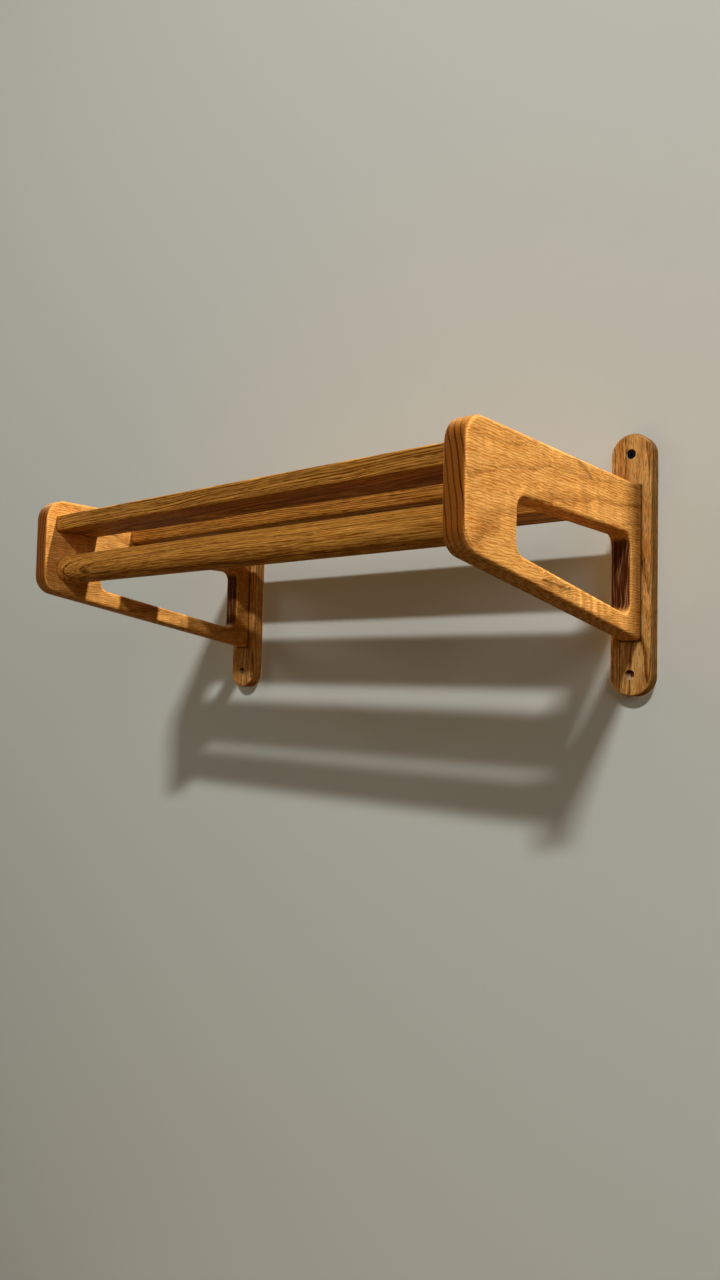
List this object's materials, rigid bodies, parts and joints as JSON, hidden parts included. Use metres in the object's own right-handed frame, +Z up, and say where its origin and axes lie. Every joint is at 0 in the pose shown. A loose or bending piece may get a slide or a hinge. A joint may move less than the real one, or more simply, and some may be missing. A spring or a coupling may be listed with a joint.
{
  "type": "wall rack",
  "caption": "Slatted wall rack of oiled oak: side panels with a window and rounded nose on upright wall plates, flat shelf slats and a round hanging rail below at the front.",
  "frame": {"origin": "on the wall plane, midway between the two wall screws in the upper holes of the wall plates", "axes": "+X along the wall to the right as seen from the front, +Y into the wall, +Z up"},
  "size_m": [0.645, 0.39, 0.28],
  "materials": {
    "oiled_oak": "satin oil",
    "beech": "raw",
    "zinc_steel": "zinc plated",
    "black_steel": "black phosphate"
  },
  "bodies": {
    "root": {"left_side_panel": "oiled_oak", "left_wall_plate": "oiled_oak", "right_side_panel": "oiled_oak", "right_wall_plate": "oiled_oak", "front_slat": "oiled_oak", "middle_slat": "oiled_oak", "rear_slat": "oiled_oak", "hanging_rail": "oiled_oak", "front_slat_left_dowels": "beech", "front_slat_right_dowels": "beech", "middle_slat_left_dowels": "beech", "middle_slat_right_dowels": "beech", "rear_slat_left_dowels": "beech", "rear_slat_right_dowels": "beech", "left_plate_dowels": "beech", "right_plate_dowels": "beech", "hanging_rail_left_dowel": "beech", "hanging_rail_right_dowel": "beech", "left_plate_screws": "zinc_steel", "right_plate_screws": "zinc_steel", "wall_screws": "black_steel"}
  },
  "joints": []
}
